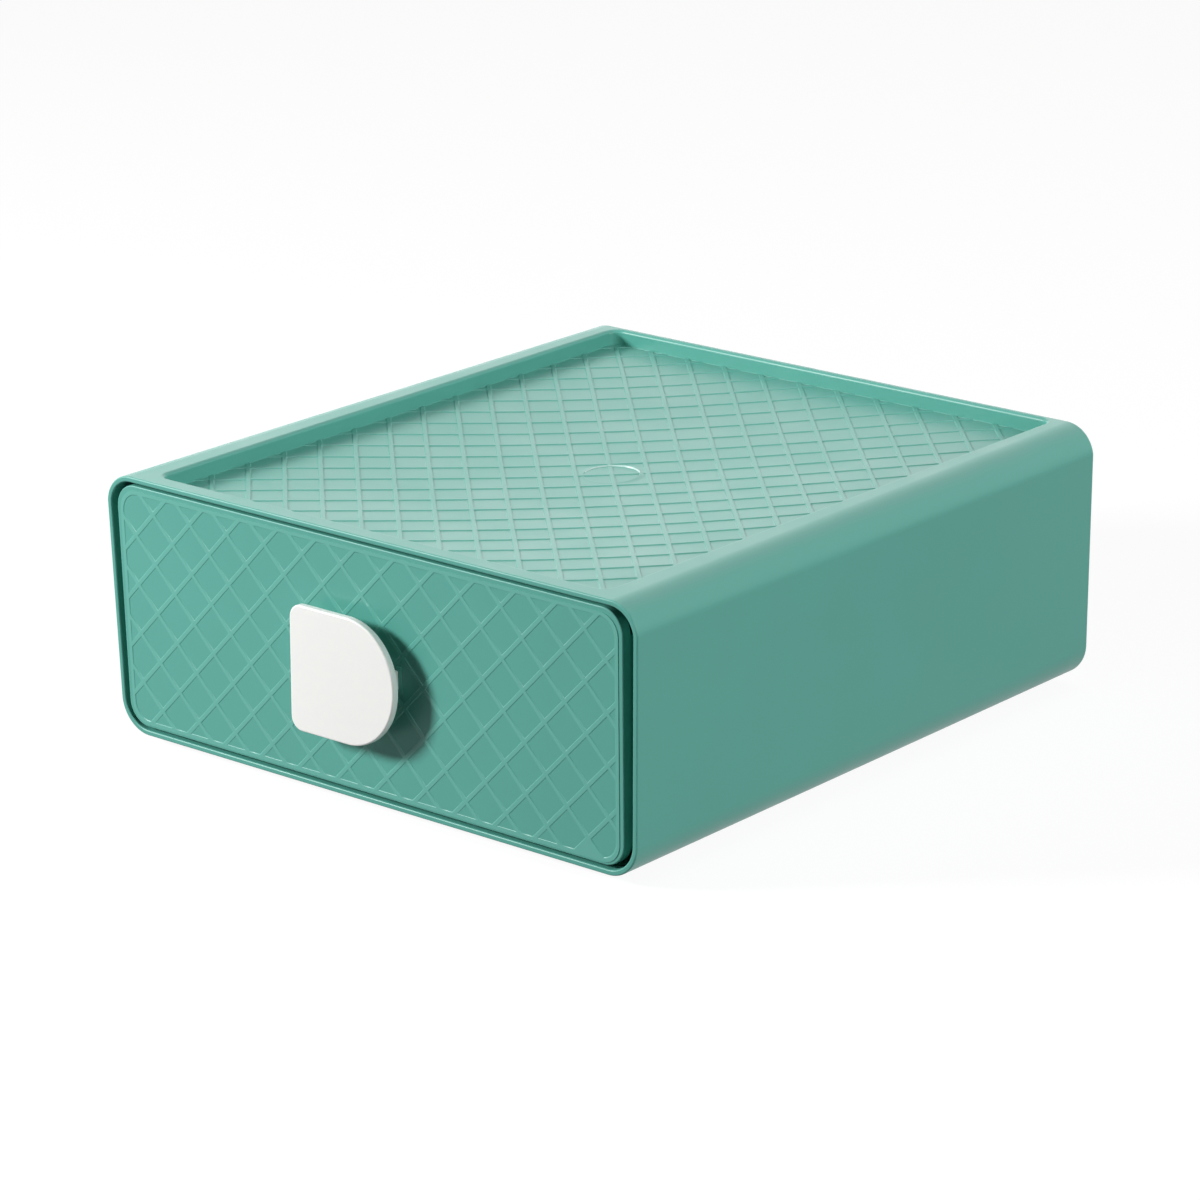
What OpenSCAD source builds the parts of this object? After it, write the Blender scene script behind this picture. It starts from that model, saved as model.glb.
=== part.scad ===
// Stackable drawer box: a one-piece casing with a recessed, latticed top, a drawer and a snap-in handle.
// Millimetres. The origin is at the middle of the footprint, on the surface that the feet stand on.
// +X is to the right, +Y to the back, +Z up, and the drawer opens towards -Y.

/* [Casing] */
// Width over the sides at the mouth, on the mould parting line
case_w = 180; // [150:1:240]
// Depth from the mouth to the back
case_d = 186; // [150:1:260]
// Height from the underside to the top rim, without the feet
case_h = 70; // [62:0.5:110]
// Thickness of the moulded walls
wall = 1.5; // [1.2:0.1:2]
// Radius of the two long top edges
top_r = 8.7; // [7:0.1:12]
// Radius of the two long bottom edges
bottom_r = 9.4; // [7:0.1:12]
// How far each side leans in between the parting line and the underside
side_lean = 1.5; // [0.5:0.1:3]
// How far each side comes in between the mouth and the back, the mould's draft
side_taper = 1.9; // [0.5:0.1:4]

/* [Top recess] */
// Width of the flat rim beside the recess at the mouth, with the long edge's radius
rim_side = 14.2; // [13:0.1:18]
// Width of the flat rim in front of the recess
rim_front = 5.4; // [5:0.1:9]
// Width of the flat rim behind the recess
rim_back = 2.3; // [2:0.1:8]
// Depth of the recess, down to the floor between the ribs
recess_depth = 4.5; // [3.5:0.1:6]
// Corner radius of the recess, seen from above
recess_r = 3.5; // [2:0.5:8]
// Diameter of the gate mark in the middle of the top
gate_d = 11; // [6:1:16]
// How far the gate mark stands out of the floor of the recess
gate_h = 0.5; // [0.2:0.1:0.8]

/* [Diamond lattice] */
// Width and height of one diamond, from crossing to crossing
lattice_pitch = 13.3; // [10:0.1:20]
// Width of a lattice rib
lattice_w = 1.2; // [0.8:0.1:2]
// Height of a lattice rib
lattice_h = 0.45; // [0.3:0.05:0.8]

/* [Feet and drawer guides] */
// Diameter of a foot
foot_d = 14; // [8:1:20]
// Height of a foot
foot_h = 2.5; // [1.5:0.1:3]
// Gap between a foot and the recess of the box below
foot_gap = 1; // [0.5:0.1:2]
// Height of the two runner ribs, and of the stop ridge between them
runner_h = 1.1; // [0.9:0.1:1.4]
// Width of a runner rib
runner_w = 3; // [2:0.5:5]
// Distance between the middles of the two runner ribs
runner_span = 110; // [70:1:120]
// How far the drawer comes out before its lip meets the stop ridge
travel = 150; // [80:1:160]

/* [Drawer] */
// Gap between the drawer's front and the mouth of the casing
front_gap = 0.7; // [0.5:0.1:1.2]
// Thickness of the drawer's front
front_t = 3; // [2.6:0.1:3.4]
// Corner radius of the drawer's front
front_r = 8.8; // [7.5:0.1:9]
// Rounding of the outer edge of the drawer's front
front_round = 1.8; // [1:0.1:2.2]
// Depth of the sunk field that the lattice stands in
field_depth = 0.5; // [0.4:0.05:0.9]
// Width of the plain border round the lattice field
border_w = 3.3; // [2.8:0.1:6]
// Gap between the tray's sides and the casing
tray_gap = 1.2; // [0.6:0.1:2]
// Thickness of the tray's walls and floor
tray_wall = 1.4; // [1.2:0.1:2]
// Gap above the tray, under the recessed top
tray_headroom = 2; // [1:0.1:6]
// Gap behind the tray
tray_rear_gap = 2; // [1:0.1:6]
// Radius of the tray's two upright back corners
tray_back_r = 6; // [3:0.5:12]
// Running clearance between the drawer and what it slides on or stops against
slide_gap = 0.3; // [0.2:0.05:0.4]

/* [Handle] */
// Width of the handle's plate
handle_w = 38; // [30:0.5:46]
// Height of the handle's plate, and the diameter of its round end
handle_h = 34; // [26:0.5:40]
// Thickness of the handle's plate
handle_t = 2.8; // [2.4:0.1:4]
// Finger gap between the plate and the drawer's front
handle_gap = 4.6; // [4.4:0.1:8]
// Corner radius at the plate's flat end
handle_corner = 2.4; // [2:0.1:5]
// Rounding of the front edge of the plate
handle_round = 1.2; // [0.6:0.1:1.6]
// Width of the tongue that carries the plate
tongue_w = 25; // [18:0.5:28]
// Height of the tongue
tongue_h = 5; // [4:0.1:8]
// How far the tongue stands out round the snap blade, as its shoulder
shoulder = 1; // [0.8:0.1:1.4]
// Clearance of the snap blade in the drawer's slot
snap_gap = 0.1; // [0.05:0.05:0.2]
// How far each snap barb stands out of the blade
barb = 0.9; // [0.5:0.1:1.2]

/* [Hidden] */
$fn = 96;
// How deep a raised detail is sunk into the wall that carries it, so that the two fuse
sink = 0.3;
// How far a straight line between two discs lies inside them, so that line and disc cross cleanly
bite = 0.004;
// How far the turned corners of a rounded slab stay inside its straight runs
nib = 0.01;
green = [0.36, 0.66, 0.60];
white = [0.95, 0.95, 0.94];

// Places along the depth, measured from the mouth of the casing
front_reach = handle_gap + handle_t;
mouth_y = front_reach / 2 - case_d / 2;
recess_w = case_w - 2 * rim_side;
recess_back = case_d - rim_back;
recess_mid = (rim_front + recess_back) / 2;
tray_back = case_d - wall - tray_rear_gap;

// Heights, measured from the casing's underside
tub_z = case_h - recess_depth - wall;
tray_z = wall + runner_h + slide_gap;
tray_top = tub_z - tray_headroom;
centre_z = case_h / 2;

// The sides come in by this angle, and by this much for each millimetre of depth
taper_slope = side_taper / case_d;
taper_angle = atan(taper_slope);

// Drawer stop: the lip under the tray's back end meets the ridge on the casing's floor
lip_t = 2;
stop_w = 40;
stop_t = 3;
ridge_back = tray_back - lip_t - slide_gap - travel;
// The runner ribs stay this far from the mouth and from the back
runner_inset = 11;
rear_stop_h = case_h / 3;

// Drawer: the front's outline and its sunk field
front_inset = wall + front_gap;
field_inset = front_inset + border_w;
field_r = front_r - border_w;
// The tray's plan stands this far clear of its leaning sides, so that the two never touch
side_slack = 0.2;
// The pad that the handle's tongue rests on is this much wider all round
pad_edge = 1;

// Handle: the snap blade behind the tongue, and the length of its barbs
blade_w = tongue_w - 2 * shoulder;
blade_h = tongue_h - 2 * shoulder;
barb_len = 3;

// ---- Outlines made of discs and the straight lines between them ----

// Unit normal of the line that touches discs a and b on their outer side, going anticlockwise
function touch_normal(a, b, ra, rb) =
    let (d = b - a, l = norm(d), u = d / l, s = (ra - rb) / l, c = sqrt(1 - s * s))
    [u.x * s + u.y * c, u.y * s - u.x * c];

// The two ends of each straight line, one pair for each disc and the next one, moved in by inset
function line_ends(c, r, inset) = [for (i = [0:len(c) - 1])
    let (j = (i + 1) % len(c), n = touch_normal(c[i], c[j], r[i], r[j]))
    [c[i] + n * (r[i] - inset), c[j] + n * (r[j] - inset)]];

// The outline that a band stretched round the discs would take
module disc_outline(c, r) {
    polygon([for (pair = line_ends(c, r, bite), p = pair) p]);
    for (i = [0:len(c) - 1]) translate(c[i]) circle(r[i]);
}

function shrink(r, by) = [for (v = r) v - by];

// Quarter of a disc, in the corner between +X and +Y
module quarter(r) intersection() {
    circle(r);
    square(r);
}

// Half of a slab's cross-section: t high, its rounded edge at x = reach
module edge_profile(reach, t, edge) {
    square([reach, t - edge]);
    square([reach - edge, t]);
    translate([reach - edge, t - edge]) quarter(edge);
}

// A slab on the XY plane with that outline, whose upper edge is rounded: a plain middle, a straight run
// from each corner to the next and a turned disc at each corner, which stays just inside the runs
module soft_slab(c, r, t, edge) {
    strip = edge + 2 * sink;
    ends = line_ends(c, r, 0);
    linear_extrude(t) disc_outline(c, shrink(r, edge + sink));
    for (i = [0:len(c) - 1]) {
        run = ends[i][1] - ends[i][0];
        translate(c[i]) rotate_extrude() edge_profile(r[i] - nib, t - nib, edge);
        translate(ends[i][0]) rotate([90, 0, 90 + atan2(run.y, run.x)]) linear_extrude(norm(run))
            mirror([1, 0]) translate([-strip, 0]) edge_profile(strip, t, edge);
    }
}

// Turns a shape drawn in XY upright, so that its height along Z comes to face the mouth, at depth y
module upright(y) translate([0, mouth_y + y, foot_h]) rotate([90, 0, 0]) children();

// A long bar along the depth whose right-hand side comes in towards the back
module side_run() translate([case_w / 2, mouth_y, foot_h]) rotate([90, 0, taper_angle])
    translate([-case_w / 2, 0, -2 * case_d]) linear_extrude(3 * case_d) children();

// The part of such a bar, made alike on both sides, from depth y0 to y1 and up to height z1
module tapered(y0, y1, z1) intersection() {
    side_run() children();
    mirror([1, 0, 0]) side_run() children();
    translate([-case_w, mouth_y + y0, 0]) cube([2 * case_w, y1 - y0, foot_h + z1]);
}

// ---- Diamond lattice ----

// Ribs at 45 degrees both ways over a field of w by h about the origin, with the middle of a diamond
// or a crossing of two ribs at the origin
module lattice(w, h, crossing) {
    count = ceil((w + h) / lattice_pitch / 2) + 1;
    phase = crossing ? 0 : lattice_pitch / 2;
    for (turn = [-45, 45], i = [-count:count])
        translate([i * lattice_pitch + phase, 0]) rotate(turn)
            square([lattice_w, 2 * (w + h)], center = true);
}

// ---- Casing ----

// The casing's cross-section moved in by inset, true on the right and carried on past the left
module half_section(inset) {
    rt = top_r - inset;
    rb = bottom_r - inset;
    low_x = case_w / 2 - side_lean - inset - rb;
    high_x = case_w / 2 - inset - rt;
    high_z = case_h - inset - rt;
    disc_outline([[-case_w, inset + rb], [low_x, inset + rb], [high_x, high_z], [-case_w, high_z]],
        [rb, rb, rt, rt]);
}

module recess_plan(grow) {
    r = recess_r + grow;
    x = recess_w / 2 + grow - r;
    y0 = rim_front - grow + r;
    y1 = recess_back + grow - r;
    translate([0, mouth_y]) disc_outline([[-x, y0], [x, y0], [x, y1], [-x, y1]], [r, r, r, r]);
}

// The space inside, without the tub that the recess makes in the ceiling
module casing_space() difference() {
    tapered(-case_d, case_d - wall, 2 * case_h) half_section(wall);
    translate([0, 0, foot_h + tub_z]) linear_extrude(case_h) {
        recess_plan(wall);
        translate([-recess_w / 2 - wall, mouth_y + case_d / 2]) square([recess_w + 2 * wall, case_d]);
    }
}

module foot_places() {
    x = recess_w / 2 - foot_gap - foot_d / 2;
    y0 = rim_front + foot_gap + foot_d / 2;
    y1 = recess_back - foot_gap - foot_d / 2;
    for (sx = [-1, 1], y = [y0, y1]) translate([sx * x, mouth_y + y]) children();
}

// Runner ribs, stop ridge and the two stops at the back
module casing_guides() {
    low = foot_h + wall - sink;
    for (sx = [-1, 1]) translate([sx * runner_span / 2 - runner_w / 2, mouth_y, low]) {
        translate([0, runner_inset, 0]) cube([runner_w, case_d - 2 * runner_inset, runner_h + sink]);
        translate([0, tray_back + slide_gap, 0])
            cube([runner_w, tray_rear_gap + sink - slide_gap, rear_stop_h]);
    }
    translate([-stop_w / 2, mouth_y + ridge_back - stop_t, low]) cube([stop_w, stop_t, runner_h + sink]);
}

module top_lattice() translate([0, 0, foot_h + case_h - recess_depth]) {
    translate([0, 0, -sink]) linear_extrude(lattice_h + sink) intersection() {
        recess_plan(sink);
        translate([0, mouth_y + recess_mid]) lattice(recess_w, recess_back - rim_front, true);
    }
    // Gate mark: a shallow cap of a sphere
    cap_r = (gate_d * gate_d / 4 + gate_h * gate_h) / (2 * gate_h);
    translate([0, mouth_y + recess_mid, 0]) intersection() {
        translate([0, 0, gate_h - cap_r]) sphere(cap_r);
        translate([0, 0, -wall / 2]) cylinder(d = 2 * gate_d, h = wall);
    }
}

module casing() color(green) {
    difference() {
        tapered(0, case_d, 2 * case_h) half_section(0);
        casing_space();
        translate([0, 0, foot_h + case_h - recess_depth]) linear_extrude(case_h) recess_plan(0);
    }
    top_lattice();
    casing_guides();
    foot_places() cylinder(d = foot_d, h = foot_h + wall / 2);
}

// ---- Drawer ----

// Corner discs of the drawer's front, moved in by inset from the casing's outline, with radius r
function front_corners(inset, r) =
    let (high_x = case_w / 2 - inset - r, low_x = high_x - side_lean)
    [[-low_x, inset + r], [low_x, inset + r], [high_x, case_h - inset - r], [-high_x, case_h - inset - r]];

module front_field(grow) {
    r = field_r + grow;
    disc_outline(front_corners(field_inset, field_r), [r, r, r, r]);
}

// Front: a plate with a rounded edge and a sunk field that the lattice stands in
module drawer_front() {
    difference() {
        corners = front_corners(front_inset, front_r);
        upright(front_t) soft_slab(corners, [for (c = corners) front_r], front_t, front_round);
        upright(field_depth) linear_extrude(front_t) front_field(0);
    }
    upright(field_depth + sink) linear_extrude(lattice_h + sink) intersection() {
        front_field(sink);
        translate([0, centre_z]) lattice(case_w, case_h, false);
    }
    upright(front_t / 2) linear_extrude(front_t / 2) translate([0, centre_z])
        square([tongue_w + 2 * pad_edge, tongue_h + 2 * pad_edge], center = true);
}

// Cross-section of the tray moved in by inset, with a side that leans as the casing's does; true on the
// right and carried on past the left and the top
module tray_section(inset) {
    r = bottom_r - wall - tray_gap - inset;
    high_x = case_w / 2 - wall - tray_gap - inset - r;
    low_z = tray_z + inset + r;
    high_z = case_h + r;
    disc_outline([[-case_w, low_z], [high_x - side_lean, low_z], [high_x, high_z], [-case_w, high_z]],
        [r, r, r, r]);
}

// Plan of the tray moved in by inset, with two round corners at the back
module tray_plan(inset) {
    r = tray_back_r - inset;
    y0 = -case_d;
    y1 = tray_back - inset - r;
    x1 = case_w / 2 - wall - tray_gap - inset - y1 * taper_slope - r + side_slack;
    x0 = x1 + (y1 - y0) * taper_slope;
    translate([0, mouth_y]) disc_outline([[-x0, y0], [x0, y0], [x1, y1], [-x1, y1]], [r, r, r, r]);
}

module drawer() color(green) difference() {
    union() {
        drawer_front();
        intersection() {
            tapered(front_t - sink, case_d, tray_top) tray_section(0);
            linear_extrude(2 * case_h) tray_plan(0);
        }
        // Lip that meets the stop ridge
        translate([-stop_w / 2, mouth_y + tray_back - lip_t, foot_h + wall + slide_gap])
            cube([stop_w, lip_t, runner_h + sink]);
    }
    intersection() {
        tapered(front_t, case_d, 2 * case_h) tray_section(tray_wall);
        linear_extrude(2 * case_h) tray_plan(tray_wall);
    }
    // Slot for the handle's snap blade
    upright(2 * front_t) translate([0, centre_z, 0]) linear_extrude(3 * front_t)
        square([blade_w + 2 * snap_gap, blade_h + 2 * snap_gap], center = true);
}

// ---- Handle ----

module handle_plate() {
    big = handle_h / 2;
    flat_x = handle_corner - handle_w / 2;
    round_x = handle_w / 2 - big;
    y = big - handle_corner;
    corners = [[flat_x, -y], [round_x, 0], [flat_x, y]];
    soft_slab(corners, [handle_corner, big, handle_corner], handle_t, handle_round);
}

// Side view of the snap blade: straight through the front, with a barb above and below behind it
module blade_side() {
    back = front_t + snap_gap;
    tip = back + barb_len;
    h = blade_h / 2;
    tip_h = blade_h / 4;
    low = [[0, -h], [back, -h], [back, -h - barb], [tip, -tip_h]];
    high = [[tip, tip_h], [back, h + barb], [back, h], [0, h]];
    polygon(concat(low, high));
}

module handle() color(white) {
    upright(-handle_gap) translate([0, centre_z, 0]) handle_plate();
    upright(0) translate([0, centre_z, 0]) linear_extrude(handle_gap + handle_t / 2)
        square([tongue_w, tongue_h], center = true);
    translate([-blade_w / 2, mouth_y, foot_h + centre_z]) rotate([90, 0, 90])
        linear_extrude(blade_w) blade_side();
}

casing();
drawer();
handle();
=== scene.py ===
"""Stackable drawer box: a green casing with a latticed top, a green drawer and a white snap-in handle.

Pieces are modelled in millimetres in the part's own frame and brought to metres when they are finished. +X is
to the right, +Y to the back and +Z up. The mouth of the casing faces -Y. A depth is measured from the mouth,
and a height from the casing's underside, above its feet.
"""

import logging
import math
from contextlib import contextmanager
from dataclasses import dataclass
from enum import Enum, IntEnum
from itertools import product
from typing import Callable, Iterable, Iterator

import bmesh
import bpy
from mathutils import Matrix, Vector


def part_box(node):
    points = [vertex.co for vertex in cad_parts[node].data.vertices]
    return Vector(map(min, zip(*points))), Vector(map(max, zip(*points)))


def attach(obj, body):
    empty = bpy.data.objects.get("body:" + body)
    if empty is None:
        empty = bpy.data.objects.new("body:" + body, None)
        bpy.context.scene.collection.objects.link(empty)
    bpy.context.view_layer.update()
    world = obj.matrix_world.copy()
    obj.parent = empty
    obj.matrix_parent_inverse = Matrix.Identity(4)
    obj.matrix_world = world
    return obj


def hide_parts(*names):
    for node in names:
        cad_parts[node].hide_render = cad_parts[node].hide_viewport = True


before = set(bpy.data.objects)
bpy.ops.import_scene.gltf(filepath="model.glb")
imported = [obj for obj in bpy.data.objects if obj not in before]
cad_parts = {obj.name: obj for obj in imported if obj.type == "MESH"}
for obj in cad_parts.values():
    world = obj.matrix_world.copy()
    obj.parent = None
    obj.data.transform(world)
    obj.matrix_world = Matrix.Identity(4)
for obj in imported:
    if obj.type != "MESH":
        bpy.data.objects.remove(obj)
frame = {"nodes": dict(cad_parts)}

log = logging.getLogger("drawer_box")

Object = bpy.types.Object
Material = bpy.types.Material
Edge = bmesh.types.BMEdge
Face = bmesh.types.BMFace
Tree = bpy.types.NodeTree
Socket = bpy.types.NodeSocket
Point = tuple[float, float, float]
Span = tuple[float, float]
# An inward move and a rise
Step = tuple[float, float]

METRES = 0.001

# The casing's corners in the frame, to a tenth of a millimetre
CASING_LOW, CASING_HIGH = ([round(c / METRES, 1) for c in corner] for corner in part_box("casing"))
MOUTH_Y = CASING_LOW[1]
CASING_DEPTH = CASING_HIGH[1] - MOUTH_Y
FOOT_HEIGHT = 2.5
UNDERSIDE_Z = CASING_LOW[2] + FOOT_HEIGHT

# How far a side comes in over the casing's whole depth, and for each millimetre of it
SIDE_TAPER = 1.9
DRAFT = SIDE_TAPER / CASING_DEPTH
# Height of the middle of the handle and its slot
HANDLE_HEIGHT = 35.0
# How far to the right the drawer stands in its running gap
DRAWER_PLAY = -0.6

# How deep a rib or wall is sunk into the wall that it is moulded in one with
SUNK = 0.3
# How far a cutting form reaches past what it cuts
PAST = 1.0
# How far outside an outline its edges are still looked for
REACH = 0.1
# Least share of its length that an edge has on the axis that it runs along
RUNS_ALONG = 0.9
# Least share of a normal on an axis for a face that is square to that axis
SQUARE = 0.99
# Turn between two faces, in radians, that makes a corner
CORNER_TURN = 1.0
# Turn between two faces up to which the shading runs smoothly over their edge
SMOOTH_TURN = math.radians(35)


class Pick(Enum):
    """What a selection in edit mode is made of."""

    VERT = "VERT"
    EDGE = "EDGE"
    FACE = "FACE"


class Axis(IntEnum):
    """The axes of the frame, as places in a vector."""

    X = 0
    Y = 1
    Z = 2


class Carving(Enum):
    """How one closed form acts on another."""

    CUT = "DIFFERENCE"
    KEEP = "INTERSECT"


class Body(Enum):
    """The moving bodies of the frame."""

    CASING = "body"
    DRAWER = "drawer"


class Centre(Enum):
    """What lies at the middle of a diamond lattice."""

    CROSSING = 0
    DIAMOND = 1


@dataclass(frozen=True)
class Moulding:
    """A moulding that comes apart on the bench, which pieces of the scene stand for.

    Attributes:
        node: its CAD node.
        body: the body that it rides on.
        slot: the record's material slot; not used.
    """

    node: str
    body: Body
    slot: str


CASING = Moulding("casing", Body.CASING, "casing_plastic")
DRAWER = Moulding("drawer", Body.DRAWER, "drawer_plastic")
HANDLE = Moulding("handle", Body.DRAWER, "handle_plastic")


@dataclass(frozen=True)
class Round:
    """A rounded edge.

    Attributes:
        radius: its radius.
        steps: how many flats it is made of.
    """

    radius: float
    steps: int

    def insets(self) -> list[Step]:
        """The inset steps that make a quarter-round edge, from an upright wall to a flat top.

        Returns:
            An inward move and a rise for each flat.
        """
        turns = [math.pi / 2 * i / self.steps for i in range(self.steps + 1)]
        inward = [self.radius * (1 - math.cos(t)) for t in turns]
        rise = [self.radius * math.sin(t) for t in turns]
        return [(inward[i + 1] - inward[i], rise[i + 1] - rise[i]) for i in range(self.steps)]


# ---- Work in edit mode ----


def deselect_all() -> None:
    """Deselects every object."""
    bpy.ops.object.select_all(action="DESELECT")


def take(obj: Object) -> None:
    """Makes obj the active object and the only selected one.

    Args:
        obj: the object.
    """
    deselect_all()
    obj.select_set(True)
    bpy.context.view_layer.objects.active = obj


def settle(obj: Object) -> None:
    """Writes an object's place, turn and size into its mesh."""
    take(obj)
    bpy.ops.object.transform_apply(location=True, rotation=True, scale=True)


@contextmanager
def editing(obj: Object, pick: Pick) -> Iterator[None]:
    """Opens obj in edit mode for the length of a with block.

    Args:
        obj: the mesh object to edit.
        pick: what selections are made of.
    """
    take(obj)
    bpy.ops.object.mode_set(mode="EDIT")
    bpy.ops.mesh.select_mode(type=pick.value)
    try:
        yield
    finally:
        bpy.ops.object.mode_set(mode="OBJECT")


def choose(obj: Object, pick: Pick, test: Callable[..., bool]) -> None:
    """Selects only the corners, edges or faces of obj that pass a test.

    Args:
        obj: the object in edit mode.
        pick: which kind of element to go through.
        test: called with each element.
    """
    bpy.ops.mesh.select_all(action="DESELECT")
    mesh = bmesh.from_edit_mesh(obj.data)
    kinds = {Pick.VERT: mesh.verts, Pick.EDGE: mesh.edges, Pick.FACE: mesh.faces}
    for item in [item for item in kinds[pick] if test(item)]:
        item.select_set(True)
    mesh.select_flush_mode()
    bmesh.update_edit_mesh(obj.data)


def mid(edge: Edge) -> Vector:
    """The middle of an edge."""
    return (edge.verts[0].co + edge.verts[1].co) / 2


def runs(edge: Edge, axis: Axis) -> bool:
    """Whether an edge runs along an axis, give or take a slight lean."""
    return abs((edge.verts[1].co - edge.verts[0].co).normalized()[axis]) > RUNS_ALONG


def is_corner(edge: Edge) -> bool:
    """Whether the two faces at an edge make a corner."""
    return edge.calc_face_angle(0) > CORNER_TURN


def is_open(edge: Edge) -> bool:
    """Whether an edge has a face on one side only."""
    return len(edge.link_faces) == 1


def near(a: float, b: float, gap: float = 0.05) -> bool:
    """Whether two sizes are the same, to within gap."""
    return abs(a - b) < gap


def both(edge: Edge, axis: Axis, value: float) -> bool:
    """Whether both ends of an edge lie at that value of an axis."""
    return all(near(v.co[axis], value) for v in edge.verts)


def extrude(by: Point) -> None:
    """Extrudes what is selected by a move."""
    bpy.ops.mesh.extrude_region_move(TRANSFORM_OT_translate={"value": by})


def step_in(steps: Iterable[Step], each: bool = False) -> None:
    """Insets the selected faces, step after step.

    Args:
        steps: inward moves and rises.
        each: whether every face is inset by itself.
    """
    for inward, rise in steps:
        bpy.ops.mesh.inset(thickness=inward, depth=rise, use_individual=each)


def raise_face(obj: Object, by: float, steps: Iterable[Step] = ()) -> None:
    """Makes a closed form of a single face, by extruding and insetting it and closing what stays open.

    Args:
        obj: the face.
        by: how far it first goes along Z.
        steps: the inset steps that follow.
    """
    with editing(obj, Pick.FACE):
        bpy.ops.mesh.select_all(action="SELECT")
        extrude((0, 0, by))
        step_in(steps)
        choose(obj, Pick.EDGE, is_open)
        bpy.ops.mesh.edge_face_add()


def round_edges(obj: Object, test: Callable[[Edge], bool], edge: Round) -> None:
    """Rounds the edges of obj that pass a test.

    Args:
        obj: the object.
        test: called with each edge.
        edge: how they are rounded.
    """
    with editing(obj, Pick.EDGE):
        choose(obj, Pick.EDGE, test)
        bpy.ops.mesh.bevel(offset=edge.radius, segments=edge.steps)


# ---- Starting and finishing pieces ----


def started(name: str) -> Object:
    """Names the primitive that was just added and settles it.

    Args:
        name: the object's name.

    Returns:
        The object.
    """
    obj = bpy.context.object
    obj.name = name
    settle(obj)
    return obj


def disc(name: str, place: Point, radius: float, corners: int, facing_down: bool = False) -> Object:
    """A round face, as a start for shaping.

    Args:
        name: the object's name.
        place: its middle.
        radius: its radius.
        corners: how many corners it has.
        facing_down: whether its normal points down instead of up.

    Returns:
        The new object.
    """
    deselect_all()
    turn = (math.pi if facing_down else 0.0, 0.0, 0.0)
    bpy.ops.mesh.primitive_circle_add(
        vertices=corners, radius=radius, fill_type="NGON", location=place, rotation=turn
    )
    return started(name)


def block(name: str, low: Point, high: Point) -> Object:
    """A closed box between two corners, as a start for shaping.

    Args:
        name: the object's name.
        low: its lowest corner.
        high: its highest corner.

    Returns:
        The new object.
    """
    deselect_all()
    middle = [(a + b) / 2 for a, b in zip(low, high)]
    bpy.ops.mesh.primitive_cube_add(size=1, location=middle)
    bpy.context.object.scale = [b - a for a, b in zip(low, high)]
    return started(name)


def soft_block(name: str, low: Point, high: Point, edge: float) -> Object:
    """A box whose edges are all softly rounded, for ribs, ridges and lips.

    Args:
        name: the object's name.
        low: its lowest corner.
        high: its highest corner.
        edge: the radius of its edges.

    Returns:
        The new object.
    """
    obj = block(name, low, high)
    with editing(obj, Pick.EDGE):
        bpy.ops.mesh.select_all(action="SELECT")
        bpy.ops.mesh.bevel(offset=edge, segments=2)
    return obj


def box_corners(width: float, depths: Span, heights: Span, x: float = 0.0) -> tuple[Point, Point]:
    """The two corners of a box that is given by its width, depths and heights.

    Args:
        width: its width.
        depths: where it starts and ends.
        heights: where its lower and upper faces are.
        x: where its middle is.

    Returns:
        Its lowest and its highest corner, in the frame.
    """
    low, high = ((MOUTH_Y + depths[i], UNDERSIDE_Z + heights[i]) for i in (0, 1))
    return (x - width / 2, *low), (x + width / 2, *high)


def at_handle(height: float) -> Span:
    """The heights of something that lies about the middle of the handle."""
    return HANDLE_HEIGHT - height / 2, HANDLE_HEIGHT + height / 2


def drawn_block(
    name: str, depths: Span, heights: Span, half_width: Callable[[float, float], float]
) -> Object:
    """A closed block along Y, alike on the left and the right, whose width differs from corner to corner.

    Args:
        name: the object's name.
        depths: where it starts and ends.
        heights: where its lower and upper faces are.
        half_width: called with the depth and the height of a corner.

    Returns:
        The new object.
    """
    obj = block(name, *box_corners(2, depths, heights))
    with editing(obj, Pick.VERT):
        for side, height, depth in product((-1, 1), heights, depths):
            y, z = MOUTH_Y + depth, UNDERSIDE_Z + height
            choose(obj, Pick.VERT, lambda v: v.co.x * side > 0 and near(v.co.y, y) and near(v.co.z, z))
            bpy.ops.transform.translate(value=(side * (half_width(depth, height) - 1), 0, 0))
    return obj


def turn_upright(obj: Object, place: Point, lean: float = 0.0) -> None:
    """Stands a piece that was modelled lying on XY up, with its top facing the mouth, and puts it in place.

    Args:
        obj: the piece.
        place: where its origin goes.
        lean: the angle by which its upper end leans back.
    """
    obj.matrix_world = Matrix.Translation(place) @ Matrix.Rotation(math.pi / 2 - lean, 4, "X")
    settle(obj)


def move_across(obj: Object, x: float) -> None:
    """Moves a piece sideways."""
    obj.location.x = x
    settle(obj)


def carve(obj: Object, tool: Object, carving: Carving) -> None:
    """Lets a closed form act on a piece, and removes the form.

    Args:
        obj: the piece that stays.
        tool: the closed form.
        carving: what the form does to the piece.
    """
    cut = obj.modifiers.new("Carve", "BOOLEAN")
    cut.object = tool
    cut.operation = carving.value
    cut.solver = "EXACT"
    take(obj)
    bpy.ops.object.modifier_apply(modifier=cut.name)
    bpy.data.objects.remove(tool, do_unlink=True)


def halve(obj: Object) -> None:
    """Cuts a form's faces along x = 0, so that a later hole leaves no face that is a ring.

    Args:
        obj: the form.
    """
    with editing(obj, Pick.FACE):
        bpy.ops.mesh.select_all(action="SELECT")
        bpy.ops.mesh.bisect(plane_co=(0, 0, 0), plane_no=(1, 0, 0))


def part_finishes(obj: Object, test: Callable[[Face], bool]) -> None:
    """Gives a piece two finishes, the second one on the faces that pass a test.

    Args:
        obj: the piece.
        test: called with each face.
    """
    take(obj)
    for _ in range(2):
        bpy.ops.object.material_slot_add()
    with editing(obj, Pick.FACE):
        choose(obj, Pick.FACE, test)
        obj.active_material_index = 1
        bpy.ops.object.material_slot_assign()


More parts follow.
